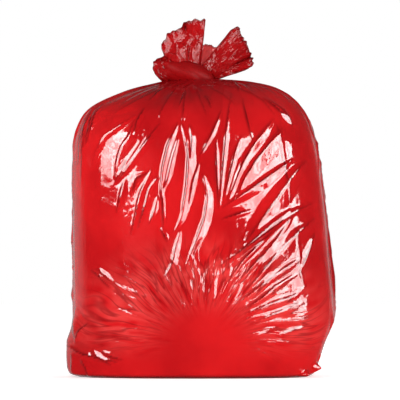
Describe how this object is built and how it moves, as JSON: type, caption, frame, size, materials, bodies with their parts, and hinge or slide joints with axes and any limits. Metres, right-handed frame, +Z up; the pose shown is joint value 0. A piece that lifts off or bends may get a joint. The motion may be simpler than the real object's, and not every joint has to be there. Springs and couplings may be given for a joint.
{
  "type": "filled garbage bag",
  "caption": "Filled garbage bag of thin glossy film, knotted at the neck with pleated fans of loose film above, standing on a flat base with soft bottom corners.",
  "frame": {"origin": "on the floor, under the middle of the bag's bounding box", "axes": "+Z up through the knot, +X to the right seen from the front, the front faces -Y"},
  "size_m": [0.5322, 0.3898, 0.7229],
  "materials": {
    "red_film": "glossy, creased blown polyethylene film"
  },
  "bodies": {
    "root": {"filled_bag": "red_film"}
  },
  "joints": []
}
